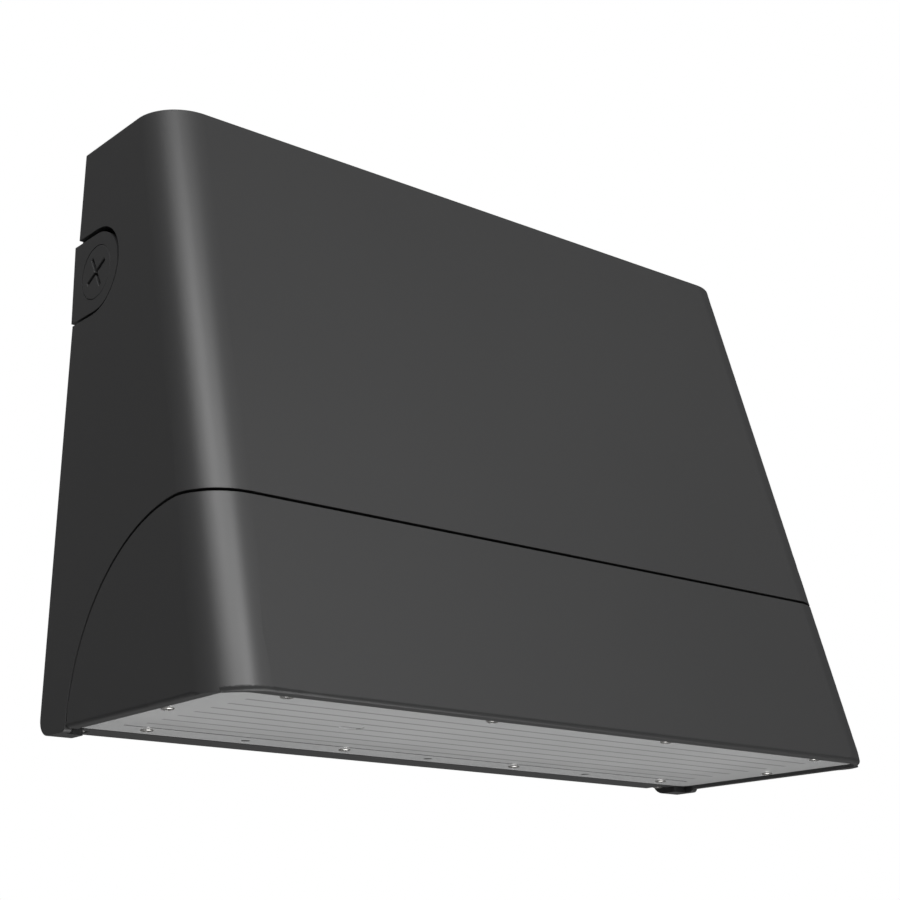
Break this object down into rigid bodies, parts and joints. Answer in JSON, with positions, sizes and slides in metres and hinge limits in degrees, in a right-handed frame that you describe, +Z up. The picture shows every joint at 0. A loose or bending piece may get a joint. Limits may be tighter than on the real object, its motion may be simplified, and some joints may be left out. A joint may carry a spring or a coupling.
{
  "type": "wall pack light",
  "caption": "Full-cutoff wall light: a sloping cast front with a lens below, hinged to a back box with side conduit entries.",
  "frame": {"origin": "on the wall plane, at the middle of the fixing holes in the back box", "axes": "+X to the right seen from the front, +Y into the wall, +Z up"},
  "size_m": [0.3146, 0.1212, 0.2262],
  "materials": {
    "housing_paint": "dark charcoal powder coat, satin, fine texture",
    "lens_clear": "clear ribbed polycarbonate",
    "reflector_white": "matt white reflector film on plastic",
    "board_white": "white solder mask",
    "led_phosphor": "phosphor yellow under clear silicone",
    "stainless": "bright stainless",
    "seal_black": "matt silicone rubber",
    "driver_case": "light grey case, potted",
    "sink_aluminium": "extruded, as drawn",
    "lead_jacket": "smooth black jacket",
    "lead_wires": "smooth wire insulation",
    "connector_clear": "amber push-in connector",
    "ground_green": "green passivated screw",
    "bush_nylon": "natural nylon",
    "jumper_white": "white board connector"
  },
  "bodies": {
    "wall_box": {"back_box": "housing_paint", "wall_gasket": "seal_black", "hinge_plates": "stainless", "hinge_plate_screws": "stainless", "hinge_pins": "stainless", "conduit_plug_left": "housing_paint", "conduit_plug_right": "housing_paint", "plug_seals": "seal_black", "led_driver": "driver_case", "driver_screws": "stainless", "wire_connectors": "connector_clear", "driver_leads": "lead_wires", "ground_screw": "ground_green"},
    "door": {"upper_shell": "housing_paint", "lamp_housing": "housing_paint", "joining_screws": "stainless", "hinge_bushes": "bush_nylon", "latch_springs": "stainless", "latch_screws": "stainless", "heat_sink": "sink_aluminium", "heat_sink_screws": "stainless", "led_board_left": "board_white", "led_board_right": "board_white", "leds": "led_phosphor", "board_screws": "stainless", "board_jumper": "jumper_white", "reflector": "reflector_white", "lens": "lens_clear", "lens_gasket": "seal_black", "lens_screws": "stainless", "lead_grommet": "seal_black", "led_lead": "lead_jacket"}
  },
  "joints": [
    {"name": "door_hinge", "type": "hinge", "parent": "wall_box", "child": "door", "pos_m": [0, -0.0083, -0.1092], "axis": [1, 0, 0], "range_deg": [0, 90], "deforming": ["led_lead", "latch_springs"]}
  ]
}
